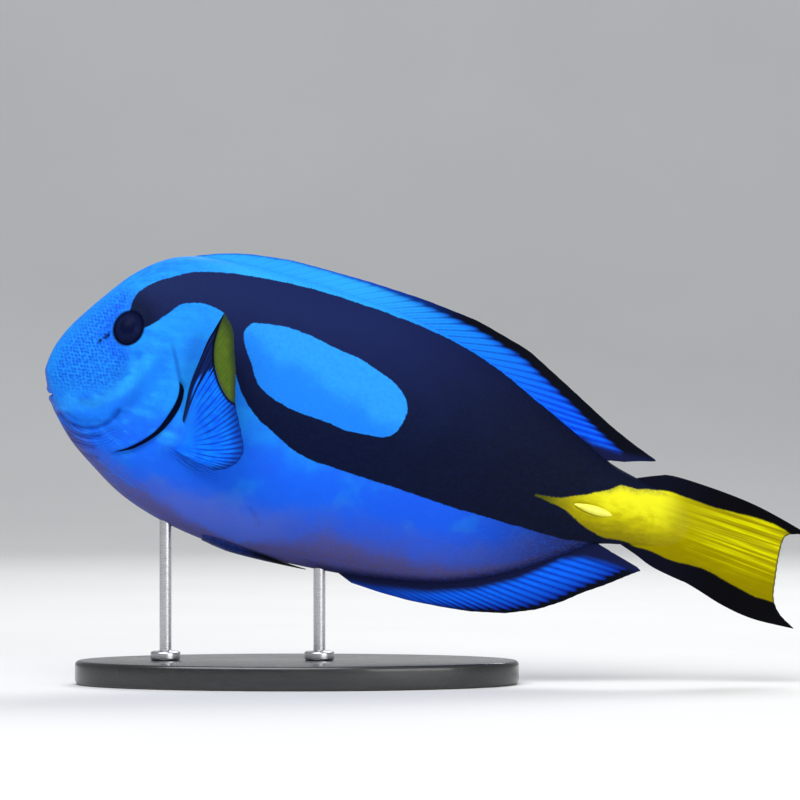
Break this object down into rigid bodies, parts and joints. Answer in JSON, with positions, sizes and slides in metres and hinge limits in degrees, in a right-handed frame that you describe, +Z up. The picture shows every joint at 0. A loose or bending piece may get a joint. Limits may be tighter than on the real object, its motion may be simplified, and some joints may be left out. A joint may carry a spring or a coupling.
{
  "type": "reef fish display model",
  "caption": "Deep-bodied oval reef fish with raised pectoral fins and a trailing tail, held nose-up on thin rods over an oval base.",
  "frame": {"origin": "centre of the bounding box, at the underside of the stand's base", "axes": "+Z up; the fish's head points towards -X and 13 degrees up, its tail towards +X, its left side towards -Y"},
  "size_m": [0.2548, 0.078, 0.1428],
  "materials": {
    "skin_blue": "moist skin with fine scales, satin",
    "skin_dark": "moist skin with fine scales, satin",
    "skin_yellow": "moist skin with fine scales, satin",
    "fin_blue": "thin membrane over rays, satin",
    "fin_yellow": "thin membrane over rays, satin",
    "spine_yellow": "smooth hard spine",
    "eye": "wet gloss",
    "base_black": "satin black lacquer",
    "rod_steel": "brushed"
  },
  "bodies": {
    "root": {"head": "skin_blue", "trunk": "skin_dark", "tail_stalk": "skin_yellow", "eye_left": "eye", "eye_right": "eye", "dorsal_fin": "fin_blue", "anal_fin": "fin_blue", "caudal_fin": "fin_yellow", "pectoral_fin_left": "fin_blue", "pectoral_fin_right": "fin_blue", "pelvic_fin_left": "fin_blue", "pelvic_fin_right": "fin_blue", "tail_spine_left": "spine_yellow", "tail_spine_right": "spine_yellow", "stand_base": "base_black", "stand_rod_front": "rod_steel", "stand_rod_rear": "rod_steel"}
  },
  "joints": []
}
